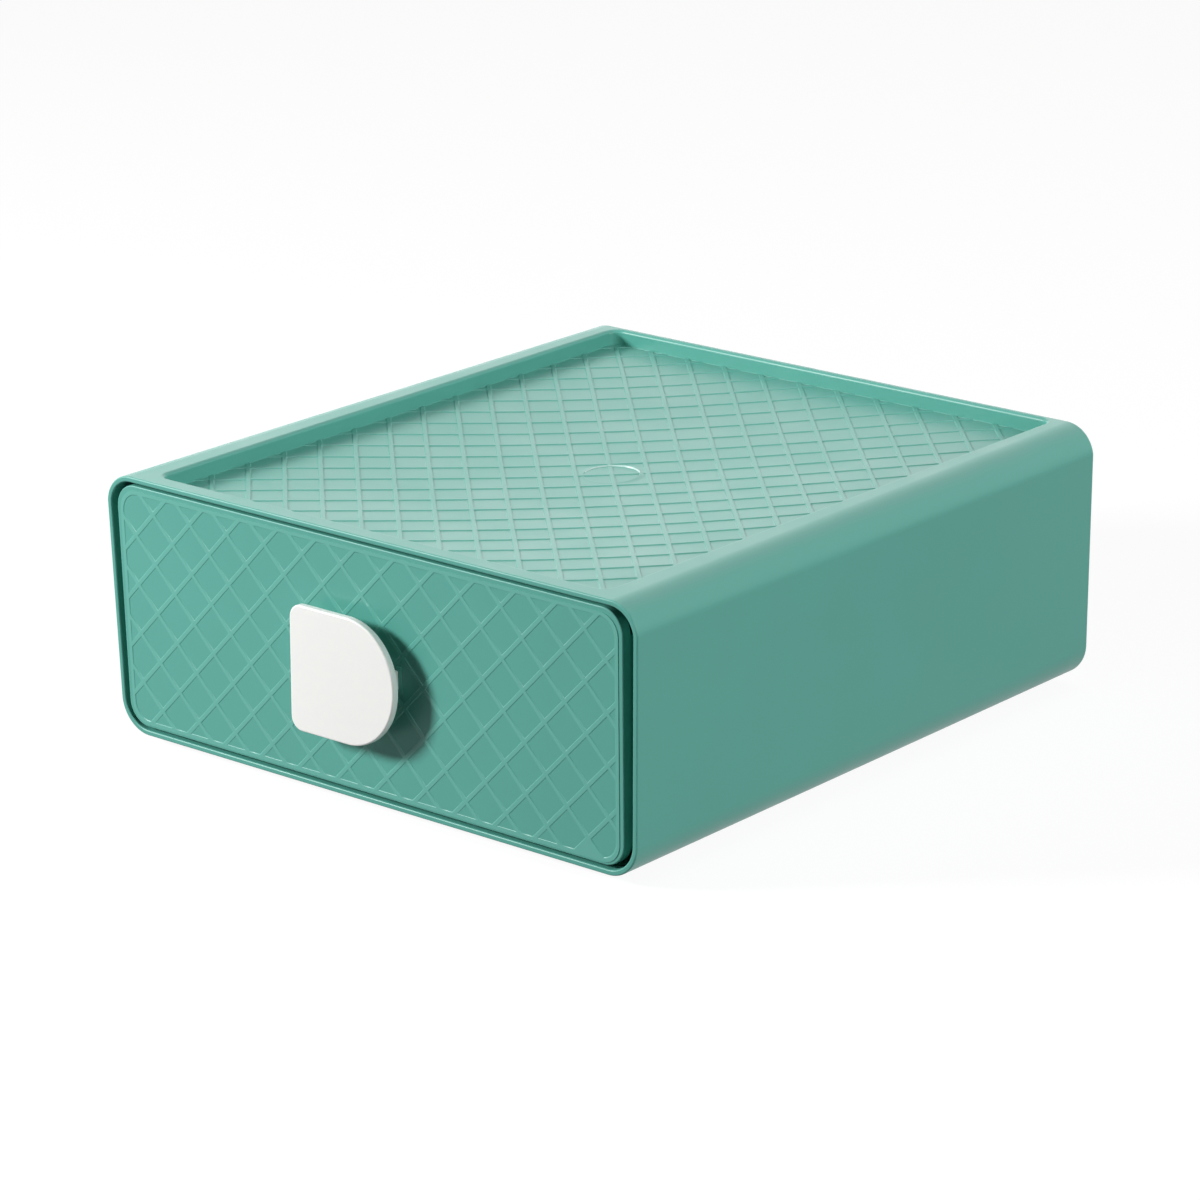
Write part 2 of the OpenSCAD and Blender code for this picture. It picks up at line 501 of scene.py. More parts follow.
def finish_piece(obj: Object, moulding: Moulding, *finishes: Material) -> Object:
    """Brings a piece to metres, smooths its shading, dresses it and ties it to the frame.

    Args:
        obj: the piece, in millimetres at its place.
        moulding: what it is part of.
        finishes: its finish, and the second one for a piece that has two.

    Returns:
        The finished object.
    """
    obj.scale = (METRES, METRES, METRES)
    settle(obj)
    bpy.ops.object.shade_smooth_by_angle(angle=SMOOTH_TURN)
    flats = obj.modifiers.new("Flats", "WEIGHTED_NORMAL")
    flats.keep_sharp = True
    flats.weight = 100
    bpy.ops.object.modifier_apply(modifier=flats.name)
    if not obj.material_slots:
        bpy.ops.object.material_slot_add()
    for place, finish in zip(obj.material_slots, finishes):
        place.material = finish
    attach(obj, moulding.body.value)
    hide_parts(moulding.node)
    log.info("%s: %d faces on %s", obj.name, len(obj.data.polygons), moulding.body.value)
    return obj


# ---- Outlines and the lattice ----


@dataclass(frozen=True)
class Outline:
    """A box outline with round corners whose sides lean, alike on the left and the right.

    Attributes:
        low_x, high_x: middles of the lower and upper corner discs.
        low_y, high_y: heights of these middles.
        radius: radius of the corner discs.
    """

    low_x: float
    high_x: float
    low_y: float
    high_y: float
    radius: float

    @property
    def lean(self) -> float:
        """How far a side moves out for each millimetre of height."""
        return (self.high_x - self.low_x) / (self.high_y - self.low_y)

    def side_x(self, y: float) -> float:
        """Half the width of the outline, on the straight line of its side.

        Args:
            y: the height.

        Returns:
            The distance of the side from the middle.
        """
        angle = math.atan(self.lean)
        touch_x = self.low_x + self.radius * math.cos(angle)
        touch_y = self.low_y - self.radius * math.sin(angle)
        return touch_x + (y - touch_y) * self.lean

    def sharp(self) -> list[tuple[float, float]]:
        """The corners of the outline before it is rounded.

        Returns:
            The four corners, anticlockwise from the lower left.
        """
        low, high = self.low_y - self.radius, self.high_y + self.radius
        low_x, high_x = self.side_x(low), self.side_x(high)
        return [(-low_x, low), (low_x, low), (high_x, high), (-high_x, high)]

    def grown(self, by: float) -> "Outline":
        """The outline moved out by a distance."""
        return Outline(self.low_x, self.high_x, self.low_y, self.high_y, self.radius + by)

    def points(self, steps: int) -> list[tuple[float, float]]:
        """The outline as points.

        Args:
            steps: how many segments each round corner has.

        Returns:
            The points, anticlockwise from the lower right.
        """
        lean = math.atan(self.lean)
        discs = [
            (self.low_x, self.low_y, -math.pi / 2, -lean),
            (self.high_x, self.high_y, -lean, math.pi / 2),
            (-self.high_x, self.high_y, math.pi / 2, math.pi + lean),
            (-self.low_x, self.low_y, math.pi + lean, math.pi * 1.5),
        ]
        result = []
        for x, y, start, end in discs:
            for i in range(steps + 1):
                turn = start + (end - start) * i / steps
                result.append((x + self.radius * math.cos(turn), y + self.radius * math.sin(turn)))
        return result

    def face(self, name: str, z: float, steps: int) -> Object:
        """A single face with this outline, from a plane whose corners are moved and rounded.

        Args:
            name: the object's name.
            z: the height at which it lies.
            steps: how many segments each round corner has.

        Returns:
            The new object.
        """
        deselect_all()
        bpy.ops.mesh.primitive_plane_add(size=2, location=(0, 0, z))
        obj = started(name)
        for (start_x, start_y), (x, y) in zip(((-1, -1), (1, -1), (1, 1), (-1, 1)), self.sharp()):
            with editing(obj, Pick.VERT):
                choose(obj, Pick.VERT, lambda v: near(v.co.x, start_x) and near(v.co.y, start_y))
                bpy.ops.transform.translate(value=(x - start_x, y - start_y, 0))
        # The two lower corners open a little past a right angle, and the two upper ones close by as much
        middle = (self.low_y + self.high_y) / 2
        for upper in (False, True):
            opening = math.pi / 2 + math.atan(self.lean) * (-1 if upper else 1)
            with editing(obj, Pick.VERT):
                choose(obj, Pick.VERT, lambda v: (v.co.y > middle) == upper)
                bpy.ops.mesh.bevel(
                    offset=self.radius / math.tan(opening / 2), segments=steps, affect="VERTICES"
                )
        return obj


def has_room(face: Face, inward: float, spare: float = 0.02) -> bool:
    """Whether a convex face can be inset that far with every edge left.

    Args:
        face: the face.
        inward: how far it is to be inset.
        spare: the least length that is left of an edge.

    Returns:
        False if an edge would shrink to nothing and fold over.
    """
    corners = [vert.co for vert in face.verts]
    sides = [b - a for a, b in zip(corners, corners[1:] + corners[:1])]
    turns = [side.angle(after) for side, after in zip(sides, sides[1:] + sides[:1])]
    shrink = [math.tan(turn / 2) for turn in turns]
    return all(side.length > inward * (shrink[i - 1] + shrink[i]) + spare for i, side in enumerate(sides))


@dataclass(frozen=True)
class Lattice:
    """A sheet of diamonds sunk between ribs that cross at right angles.

    Attributes:
        flank: inset steps from a rib's top down to the floor of a diamond.
        centre: what lies at the origin.
        shift: how far the pattern is moved from the origin.
        frame: how much wider the rib round the edge is than half a rib.
        two_finishes: whether the tops of the ribs have a material of their own, smoother than the rest and
            lighter in colour as a painted sheen.
        pitch: width and height of a diamond, from crossing to crossing.
        crest: half the width of a rib's flat top.
        backing: thickness under the floor of the diamonds, sunk into what carries the plate.
        rim_steps: how many segments each round corner of the plate has.
        crest_gap: how far from the height of the ribs' tops a face still counts as one of them.
    """

    flank: tuple[Step, ...]
    centre: Centre
    shift: tuple[float, float] = (0.0, 0.0)
    frame: float = 0.0
    two_finishes: bool = False
    pitch: float = 13.3
    crest: float = 0.44
    backing: float = 0.3
    rim_steps: int = 8
    crest_gap: float = 0.004

    @property
    def depth(self) -> float:
        """How deep a diamond's floor lies under the tops of the ribs."""
        return sum(drop for _, drop in self.flank)

    def grid(self, name: str, outline: Outline, middle_y: float, top: float) -> Object:
        """Makes the flat sheet of square cells on their corners, cut to the outline.

        Args:
            name: the object's name.
            outline: where the floor of the pattern ends.
            middle_y: the height of the pattern's middle on the outline.
            top: the height at which the sheet lies.

        Returns:
            The open sheet.
        """
        cell = self.pitch / math.sqrt(2)
        reach = 2 * max(outline.high_x + outline.radius, outline.high_y + outline.radius - middle_y)
        cells = 2 * math.ceil(reach * math.sqrt(2) / cell / 2) + self.centre.value
        deselect_all()
        bpy.ops.mesh.primitive_grid_add(
            x_subdivisions=cells,
            y_subdivisions=cells,
            size=cells * cell,
            location=(self.shift[0], middle_y + self.shift[1], top),
            rotation=(0, 0, math.pi / 4),
        )
        obj = started(name)
        rim = outline.grown(self.crest).points(self.rim_steps)
        with editing(obj, Pick.FACE):
            for a, b in zip(rim, rim[1:] + rim[:1]):
                bpy.ops.mesh.select_all(action="SELECT")
                outwards = Vector((b[1] - a[1], a[0] - b[0], 0)).normalized()
                bpy.ops.mesh.bisect(plane_co=(a[0], a[1], 0), plane_no=outwards, clear_outer=True)
        with editing(obj, Pick.EDGE):
            # Where a rib meets a round corner, very short edges are closed up, so that no diamond folds over
            choose(obj, Pick.EDGE, lambda e: is_open(e) and e.calc_length() < self.crest)
            bpy.ops.mesh.merge(type="COLLAPSE")
        return obj

    def plate(self, name: str, outline: Outline, middle_y: float, top: float) -> Object:
        """Makes the latticed plate, lying on XY.

        Args:
            name: the object's name.
            outline: where the floor of the pattern ends. The plate goes on past it by the edge rib.
            middle_y: the height of the pattern's middle on the outline.
            top: the height of the tops of the ribs.

        Returns:
            A closed plate that faces up.
        """
        obj = self.grid(name, outline, middle_y, top)
        with editing(obj, Pick.FACE):
            sink = self.crest + sum(inward for inward, _ in self.flank)
            choose(obj, Pick.FACE, lambda f: has_room(f, sink))
            step_in([(self.crest, 0), *((inward, -drop) for inward, drop in self.flank)], each=True)
        with editing(obj, Pick.EDGE):
            choose(obj, Pick.EDGE, is_open)
            if self.frame:
                centre = (outline.low_y + outline.high_y) / 2
                half_y = (outline.high_y - outline.low_y) / 2 + outline.radius
                wider = (1 + self.frame / (outline.high_x + outline.radius), 1 + self.frame / half_y, 1)
                extrude((0, 0, 0))
                bpy.ops.transform.resize(value=wider, center_override=(0, centre, top))
            extrude((0, 0, -self.depth - self.backing))
            bpy.ops.mesh.edge_face_add()
        # The tops of the ribs take the second material, whose lighter colour is a painted sheen
        if self.two_finishes:
            part_finishes(
                obj,
                lambda f: f.normal.z > 0.999 and near(f.calc_center_median().z, top, self.crest_gap),
            )
        return obj


# ---- Finishes ----


def fill(tree: Tree, node: bpy.types.Node, inputs: dict) -> None:
    """Fills the inputs of a shader node.

    Args:
        tree: the nodes that it is one of.
        node: the node.
        inputs: for each input its level, or the socket that drives it.
    """
    for word, source in inputs.items():
        if isinstance(source, Socket):
            tree.links.new(source, node.inputs[word])
        else:
            node.inputs[word].default_value = source


def add_node(tree: Tree, kind: str, inputs: dict | None = None) -> bpy.types.Node:
    """Adds a shader node.

    Args:
        tree: the nodes that it is added to.
        kind: its type, after ShaderNode.
        inputs: for each input its level, or the socket that drives it.

    Returns:
        The new node.
    """
    node = tree.nodes.new(f"ShaderNode{kind}")
    fill(tree, node, inputs or {})
    return node


@dataclass(frozen=True)
class MouldedPlastic:
    """Injection-moulded plastic with a satin skin.

    Attributes:
        name: the material's name.
        colour: linear base colour.
        variation: how much the colour drifts, as a share.
        roughness: lowest and highest roughness.
        grain: height of the fine skin texture in metres.
        specular: strength of the reflection, on the shader's own socket.
        scatter: share of light that goes under the surface.
        scatter_reach: how far red, green and blue go under the surface, as shares of scatter_depth.
        scatter_depth: how far light goes under the surface, in metres.
        drift_scale, polish_scale, skin_scale: how fine the three patterns are.
        skin_strength: how strongly the skin texture shades.
        noise_span: the levels between which a noise pattern is spread out.
    """

    name: str
    colour: Point
    roughness: Span
    grain: float
    specular: float
    variation: float = 0.02
    scatter: float = 0.0
    scatter_reach: Point = (0.6, 0.5, 0.4)
    scatter_depth: float = 0.002
    drift_scale: float = 14.0
    polish_scale: float = 55.0
    skin_scale: float = 2600.0
    skin_strength: float = 0.35
    noise_span: Span = (0.3, 0.7)

    def noise(self, tree: Tree, scale: float, detail: float = 2.0) -> Socket:
        """Adds a noise pattern that reads Object coordinates.

        Args:
            tree: the material's nodes.
            scale: how fine the pattern is.
            detail: how many finer layers it has.

        Returns:
            The socket with the pattern's level.
        """
        place = add_node(tree, "TexCoord").outputs["Object"]
        noise = add_node(tree, "TexNoise", {"Vector": place, "Scale": scale, "Detail": detail})
        return noise.outputs["Fac"]

    def drift(self, tree: Tree) -> Socket:
        """Adds the slow drift of the pigment, as where the melt cooled at different speeds.

        Args:
            tree: the material's nodes.

        Returns:
            The socket with the colour.
        """
        ramp = add_node(tree, "ValToRGB", {"Fac": self.noise(tree, self.drift_scale, 3.0)})
        for stop, sign, position in zip(ramp.color_ramp.elements, (-1, 1), self.noise_span):
            stop.color = [c * (1 + sign * self.variation) for c in self.colour] + [1]
            stop.position = position
        return ramp.outputs["Color"]

    def polish(self, tree: Tree) -> Socket:
        """Adds the patches that took the mould's polish a little better or worse.

        Args:
            tree: the material's nodes.

        Returns:
            The socket with the roughness.
        """
        words = ("From Min", "From Max", "To Min", "To Max")
        levels = dict(zip(words, (*self.noise_span, *self.roughness)))
        levels["Value"] = self.noise(tree, self.polish_scale)
        return add_node(tree, "MapRange", levels).outputs["Result"]

    def skin(self, tree: Tree) -> Socket:
        """Adds the fine texture of the skin.

        Args:
            tree: the material's nodes.

        Returns:
            The socket with the normal.
        """
        height = self.noise(tree, self.skin_scale)
        levels = {"Strength": self.skin_strength, "Distance": self.grain, "Height": height}
        return add_node(tree, "Bump", levels).outputs["Normal"]

    def material(self) -> Material:
        """Builds the material.

        Returns:
            The material, whose patterns read Object coordinates.
        """
        made = bpy.data.materials.new(self.name)
        made.use_nodes = True
        tree = made.node_tree
        inputs = {
            "Base Color": self.drift(tree),
            "Roughness": self.polish(tree),
            "Normal": self.skin(tree),
            "Specular IOR Level": self.specular,
            "Subsurface Weight": self.scatter,
            "Subsurface Radius": self.scatter_reach,
            "Subsurface Scale": self.scatter_depth,
        }
        fill(tree, tree.nodes["Principled BSDF"], inputs)
        return made


GREEN = MouldedPlastic("green_satin", (0.091, 0.350, 0.290), (0.34, 0.40), 0.00002, 0.32)
# Tops of the front ribs: a smoother finish, and a lighter colour that is a painted sheen
GREEN_RIB_SHEEN = MouldedPlastic("green_polished_painted_sheen", (0.112, 0.398, 0.332), (0.28, 0.32), 0.00001, 0.40)
# A pale colour on the gate mark's steep inner wall, a painted highlight
GATE_WALL_HIGHLIGHT = MouldedPlastic("gate_wall_painted_highlight", (0.52, 0.70, 0.66), (0.26, 0.30), 0.00001, 0.45)
WHITE = MouldedPlastic(
    "white_gloss", (0.875, 0.875, 0.855), (0.30, 0.34), 0.00001, 0.40, variation=0.006, scatter=0.12
)


# ---- Casing ----


@dataclass(frozen=True)
class GateMark:
    """The dish in the middle of the top, where the mould was filled: a lip, a flat and a small nub.

    The lip is highest towards the back and runs out towards the front.

    Attributes:
        radius: its outer radius.
        corners: how many corners its circles have.
        sunk, rise: how far it reaches into the recess floor, and how far the foot of its lip stands out.
        lip: inset steps up the lip and down its steep inner wall.
        flat: the width of the flat between the lip and the nub.
        nub: inset steps up the nub.
        wall_ring: the radii between which the inner wall lies.
        wall_normal: the upward shares of normals between which a face is part of the inner wall.
    """

    radius: float = 9.2
    corners: int = 64
    sunk: float = 0.1
    rise: float = 0.06
    lip: tuple[Step, ...] = (
        (0.4, 0.03),
        (0.5, 0.13),
        (0.5, 0.18),
        (0.25, 0.08),
        (0.1, 0.01),
        (0.03, -0.05),
        (0.17, -0.36),
        (0.05, -0.02),
    )
    flat: float = 6.5
    nub: tuple[Step, ...] = ((0.1, 0.16), (0.12, 0.08), (0.2, 0.0))
    wall_ring: Span = (6.5, 8.5)
    wall_normal: Span = (0.1, 0.8)

    def build(self, middle_y: float, floor: float) -> Object:
        """Makes the mark.

        Args:
            middle_y: where its middle is.
            floor: the height that it stands on.

        Returns:
            The closed piece, with a pale material of its own on the inner wall of the lip, a painted
            highlight.
        """
        obj = disc("gate_mark", (0, middle_y, floor - self.sunk), self.radius, self.corners)
        raise_face(obj, self.sunk + self.rise, (*self.lip, (self.flat, 0.0), *self.nub))
        foot = floor + self.rise
        for vertex in obj.data.vertices:
            share = 0.5 + (vertex.co.y - middle_y) / (2 * self.radius)
            if vertex.co.z > floor:
                vertex.co.z = foot + (vertex.co.z - foot) * share

        def on_wall(face: Face) -> bool:
            """Whether a face is on the steep inner wall of the lip."""
            place = face.calc_center_median()
            off = Vector((place.x, place.y - middle_y)).length
            in_ring = self.wall_ring[0] < off < self.wall_ring[1]
            return in_ring and self.wall_normal[0] < face.normal.z < self.wall_normal[1]

        # The inner wall of the lip takes the pale second material, a painted highlight
        part_finishes(obj, on_wall)
        return obj


@dataclass
class Casing:
    """The one-piece sleeve: skin with a recessed top, lattice, gate mark, feet and drawer guides.

    Attributes:
        lean: how far a side moves out between the lower and the upper round.
        recess_front, recess_back: the depths at which the recess starts and ends.
        rim_edge, back_edge: the rounds of the mouth's edges and of the back's edges.
        parting_steps: how many flats up the top round the parting line lies.
        parting_flat: from and to how far under the parting line the side is made flat.
        parting_gaps: how near the line an edge is that is bevelled, and one that is moved in.
        sag_cells: into how many cells the panel is cut, across and along.
        sag_span: from how far under the recess floor to how far above it things sag.
        lattice_reach: how far the lattice goes on past the recess outline.
        lattice_lift: how far the floors of the diamonds lie above the recess floor.
        foot_gap: the play of a foot in the recess of a like box.
        foot_rim, foot_hollow: the flat ring under a foot, and the inset step into its hollow.
        runner_span: from the middle of one runner to the middle of the other.
        ridge_back, stop_front: the depths at which the stop ridge ends and the rear stops start.
    """

    width: float = CASING_HIGH[0] - CASING_LOW[0]
    depth: float = CASING_DEPTH
    height: float = CASING_HIGH[2] - UNDERSIDE_Z
    wall: float = 1.5
    top_round: Round = Round(8.7, 20)
    bottom_round: Round = Round(9.4, 16)
    lean: float = 1.5
    recess_width: float = 151.6
    recess_front: float = 5.4
    recess_back: float = 183.7
    recess_depth: float = 4.5
    recess_round: Round = Round(3.5, 8)
    recess_edge: Round = Round(1.0, 6)
    recess_foot: Round = Round(0.15, 3)
    rim_edge: Round = Round(0.45, 5)
    back_edge: Round = Round(0.8, 3)
    parting: Round = Round(0.12, 2)
    parting_depth: float = 0.05
    parting_steps: int = 2
    parting_flat: Span = (1.7, 0.2)
    parting_gaps: Span = (0.15, 0.05)
    sag: float = 2.9
    sag_cells: tuple[int, int] = (16, 20)
    sag_span: Span = (-3.0, 1.5)
    lattice: Lattice = Lattice(
        ((0.06, 0.015), (0.08, 0.055), (0.08, 0.075), (0.08, 0.055), (0.06, 0.02)), Centre.CROSSING
    )
    lattice_reach: float = 0.5
    lattice_lift: float = 0.05
    gate: GateMark = GateMark()
    foot_diameter: float = 14.0
    foot_corners: int = 48
    foot_gap: float = 1.0
    foot_edge: Round = Round(0.6, 4)
    foot_rim: float = 1.0
    foot_hollow: Step = (0.25, -0.5)
    runner_height: float = 1.1
    runner_width: float = 3.0
    runner_span: float = 110.0
    runner_inset: float = 11.0
    ridge_back: float = 30.2
    ridge_thickness: float = 3.0
    ridge_width: float = 40.0
    stop_front: float = 182.8
    stop_height: float = 23.333
    guide_edge: float = 0.25

    @property
    def top(self) -> float:
        """Height of the top rim, in the frame."""
        return UNDERSIDE_Z + self.height

    @property
    def slope(self) -> float:
        """How far a side moves out for each millimetre of height."""
        return self.lean / (self.height - self.top_round.radius - self.bottom_round.radius)

    @property
    def parting_z(self) -> float:
        """Height of the parting line in the frame.

        Returns:
            The height of a crease a few flats up the round of the top edge.
        """
        lean = math.atan(self.slope)
        turn = self.parting_steps * (math.pi / 2 + lean) / self.top_round.steps - lean
        return self.top - self.top_round.radius * (1 - math.sin(turn))

    @property
    def recess_middle(self) -> float:
        """Where the middle of the recess is along Y, in the frame."""
        return MOUTH_Y + (self.recess_front + self.recess_back) / 2

    @property
    def floor(self) -> float:
        """Height of the recess floor between the ribs, in the frame."""
        return self.top - self.recess_depth

    def recess_outline(self) -> Outline:
        """The recess seen from above.

        Returns:
            Its outline, with the y of the frame.
        """
        r = self.recess_round.radius
        x = self.recess_width / 2 - r
        return Outline(x, x, MOUTH_Y + self.recess_front + r, MOUTH_Y + self.recess_back - r, r)

    def bar(self, name: str, inset: float, front: float, back: float) -> Object:
        """A closed bar with the casing's cross-section moved in, and its taper.

        Args:
            name: the object's name.
            inset: how far the section is moved in.
            front: the depth at which the bar starts.
            back: the depth at which it ends.

        Returns:
            The bar, cut into a left and a right half so that no flat face is a ring.
        """
        low, high = inset, self.height - inset
        low_x = self.width / 2 - self.lean - self.slope * self.bottom_round.radius - inset * (1 - self.slope)
        obj = drawn_block(
            name, (front, back), (low, high), lambda y, z: low_x + self.slope * (z - low) - y * DRAFT
        )
        lean = math.atan(self.slope)
        for height, edge, opening in (
            (low, self.bottom_round, math.pi / 2 + lean),
            (high, self.top_round, math.pi / 2 - lean),
        ):
            offset = Round((edge.radius - inset) / math.tan(opening / 2), edge.steps)
            round_edges(obj, lambda e: runs(e, Axis.Y) and both(e, Axis.Z, UNDERSIDE_Z + height), offset)
        with editing(obj, Pick.EDGE):
            # Up to the parting line the side stays flat, so that a faint crease shows where the round begins
            first, last = (self.parting_z - gap for gap in self.parting_flat)
            choose(obj, Pick.EDGE, lambda e: runs(e, Axis.Y) and first < mid(e).z < last)
            bpy.ops.mesh.dissolve_edges(use_verts=True)
        halve(obj)
        return obj

    def recess_form(self, grow: float, low: float) -> Object:
        """A closed form of the recess that reaches to well above the rim.

        Args:
            grow: how far its outline is moved out.
            low: the height at which it starts, in the frame.

        Returns:
            The form.
        """
        obj = self.recess_outline().grown(grow).face("recess_form", low, self.recess_round.steps)
        raise_face(obj, 3 * self.recess_depth)
        return obj

    def sleeve(self) -> Object:
        """The sleeve with its recess, before its small edges are softened.

        Returns:
            A closed mesh.
        """
        space = self.bar("space_form", self.wall, -self.wall, self.depth - self.wall)
        tub_low = self.floor - self.wall
        carve(space, self.recess_form(self.wall, tub_low), Carving.CUT)
        heights = (tub_low - UNDERSIDE_Z, self.height + 2 * self.recess_depth)
        depths = (self.depth / 2, 1.5 * self.depth)
        back_fill = box_corners(self.recess_width + 2 * self.wall, depths, heights)
        carve(space, block("back_fill_form", *back_fill), Carving.CUT)
        obj = self.bar("casing_shell", 0, 0, self.depth)
        carve(obj, space, Carving.CUT)
        carve(obj, self.recess_form(0, self.floor), Carving.CUT)
        return obj

    def soften(self, obj: Object) -> None:
        """Rounds the small edges of the recess, the mouth and the back.

        Args:
            obj: the sleeve.
        """
        inner = self.recess_width / 2 + REACH
        front, back = MOUTH_Y + self.recess_front - REACH, MOUTH_Y + self.recess_back + REACH

        def in_recess(edge: Edge) -> bool:
            """Whether an edge lies on the recess outline."""
            return abs(mid(edge).x) < inner and front < mid(edge).y < back

        for z, edge in ((self.top, self.recess_edge), (self.floor, self.recess_foot)):
            round_edges(obj, lambda e: both(e, Axis.Z, z) and in_recess(e) and is_corner(e), edge)
        for y, edge in ((MOUTH_Y, self.rim_edge), (MOUTH_Y + self.depth, self.back_edge)):
            round_edges(obj, lambda e: both(e, Axis.Y, y) and is_corner(e), edge)

    def mark_parting(self, obj: Object) -> None:
        """Cuts the faint line where the two halves of the mould met, under each long top edge.

        Args:
            obj: the sleeve.
        """

        def on_line(edge: Edge, gap: float) -> bool:
            """Whether an edge is a long one on the outside, within a gap of the line's height."""
            long = runs(edge, Axis.Y) and edge.calc_length() > self.depth / 2
            outside = abs(mid(edge).x) > self.width / 2 - SIDE_TAPER
            return long and outside and near(mid(edge).z, self.parting_z, gap)

        wide, narrow = self.parting_gaps
        round_edges(obj, lambda e: on_line(e, wide), self.parting)
        for side in (-1, 1):
            with editing(obj, Pick.EDGE):
                choose(obj, Pick.EDGE, lambda e: on_line(e, narrow) and mid(e).x * side > 0)
                bpy.ops.transform.translate(value=(-side * self.parting_depth, 0, 0))

    def divide_floor(self, obj: Object, test: Callable[[Face], bool]) -> None:
        """Cuts flat faces of the top panel into cells, so that they can sag.

        Args:
            obj: the piece.
            test: which faces are cut.
        """
        columns, rows = self.sag_cells
        cell_x, cell_y = self.recess_width / columns, (self.recess_back - self.recess_front) / rows
        left, front = -self.recess_width / 2, MOUTH_Y + self.recess_front
        cuts = [((left + cell_x * i, 0, 0), (1, 0, 0)) for i in range(1, columns)]
        cuts += [((0, front + cell_y * i, 0), (0, 1, 0)) for i in range(1, rows)]
        with editing(obj, Pick.FACE):
            for place, normal in cuts:
                choose(obj, Pick.FACE, test)
                bpy.ops.mesh.bisect(plane_co=place, plane_no=normal)

    def droop(self, obj: Object) -> None:
        """Lets the thin top panel hang a little in its middle, as such a wide moulded panel does.

        Args:
            obj: a piece on or in the panel.
        """
        half_x = self.recess_width / 2
        half_y = (self.recess_back - self.recess_front) / 2
        low, high = (self.floor + height for height in self.sag_span)
        for vertex in obj.data.vertices:
            x, y, z = vertex.co
            if low < z < high:
                across = max(0.0, 1 - (x / half_x) ** 2)
                down = max(0.0, 1 - ((y - self.recess_middle) / half_y) ** 2)
                vertex.co.z -= self.sag * across * down

    def shell(self) -> Object:
        """The whole sleeve with its wall.

        Returns:
            A closed piece.
        """
        obj = self.sleeve()
        self.soften(obj)
        self.mark_parting(obj)
        inner = self.recess_width / 2 + self.wall
        low, high = self.floor - self.wall - REACH, self.floor + REACH

        def on_panel(face: Face) -> bool:
            """Whether a face is part of the recess floor or of the ceiling under it."""
            place = face.calc_center_median()
            return abs(face.normal.z) > SQUARE and low < place.z < high and abs(place.x) < inner

        self.divide_floor(obj, on_panel)
        self.droop(obj)
        return obj

    def top_lattice(self) -> Object:
        """The raised diamonds in the recess, as a thin plate that is sunk into the floor.

        Returns:
            A closed piece.
        """
        outline = self.recess_outline().grown(self.lattice_reach)
        rib_top = self.floor + self.lattice.depth + self.lattice_lift
        obj = self.lattice.plate("top_lattice", outline, self.recess_middle, rib_top)
        self.divide_floor(obj, lambda f: f.normal.z < -SQUARE)
        self.droop(obj)
        return obj

    def gate_mark(self) -> Object:
        """The gate mark, which sags with the panel.

        Returns:
            A closed piece.
        """
        obj = self.gate.build(self.recess_middle, self.floor)
        self.droop(obj)
        return obj

    def foot(self, x: float, y: float) -> Object:
        """One round locating foot, hollowed below as moulded feet are.

        Args:
            x, y: the place of its middle, in the frame.

        Returns:
            A closed form.
        """
        root = UNDERSIDE_Z + self.wall / 2
        obj = disc("foot", (x, y, root), self.foot_diameter / 2, self.foot_corners, facing_down=True)
        steps = (*self.foot_edge.insets(), (self.foot_rim, 0), self.foot_hollow)
        raise_face(obj, self.foot_edge.radius - root, steps)
        return obj

    def feet(self) -> Object:
        """The four feet, which stand in the recess of a like box below.

        Returns:
            One piece of four closed forms.
        """
        reach = self.foot_gap + self.foot_diameter / 2
        x = self.recess_width / 2 - reach
        rows = (MOUTH_Y + self.recess_front + reach, MOUTH_Y + self.recess_back - reach)
        first, *others = [self.foot(side * x, y) for side, y in product((-1, 1), rows)]
        take(first)
        for other in others:
            other.select_set(True)
        bpy.ops.object.join()
        first.name = "feet"
        return first

    def guides(self) -> list[Object]:
        """The two runner ribs, the two stops at the back and the stop ridge.

        Returns:
            Five closed pieces.
        """
        low, high = self.wall - SUNK, self.wall + self.runner_height
        runner = (self.runner_inset, self.depth - self.runner_inset), (low, high)
        stop = (self.stop_front, self.depth - self.wall + SUNK), (low, low + self.stop_height)
        ridge = (self.ridge_back - self.ridge_thickness, self.ridge_back), (low, high)
        boxes = {}
        for side, word in ((-1, "left"), (1, "right")):
            x = side * self.runner_span / 2
            boxes[f"runner_{word}"] = box_corners(self.runner_width, *runner, x)
            boxes[f"rear_stop_{word}"] = box_corners(self.runner_width, *stop, x)
        boxes["stop_ridge"] = box_corners(self.ridge_width, *ridge)
        return [soft_block(name, *box, self.guide_edge) for name, box in boxes.items()]

    def build(self, plastic: Material, pale: Material) -> list[Object]:
        """Builds and dresses every piece of the casing.

        Args:
            plastic: the green plastic.
            pale: the pale material of the gate mark's steep inner wall, a painted highlight.

        Returns:
            The finished pieces.
        """
        made = [self.shell(), self.top_lattice(), self.gate_mark(), self.feet(), *self.guides()]
        return [finish_piece(obj, CASING, plastic, pale) for obj in made]


# ---- Drawer ----


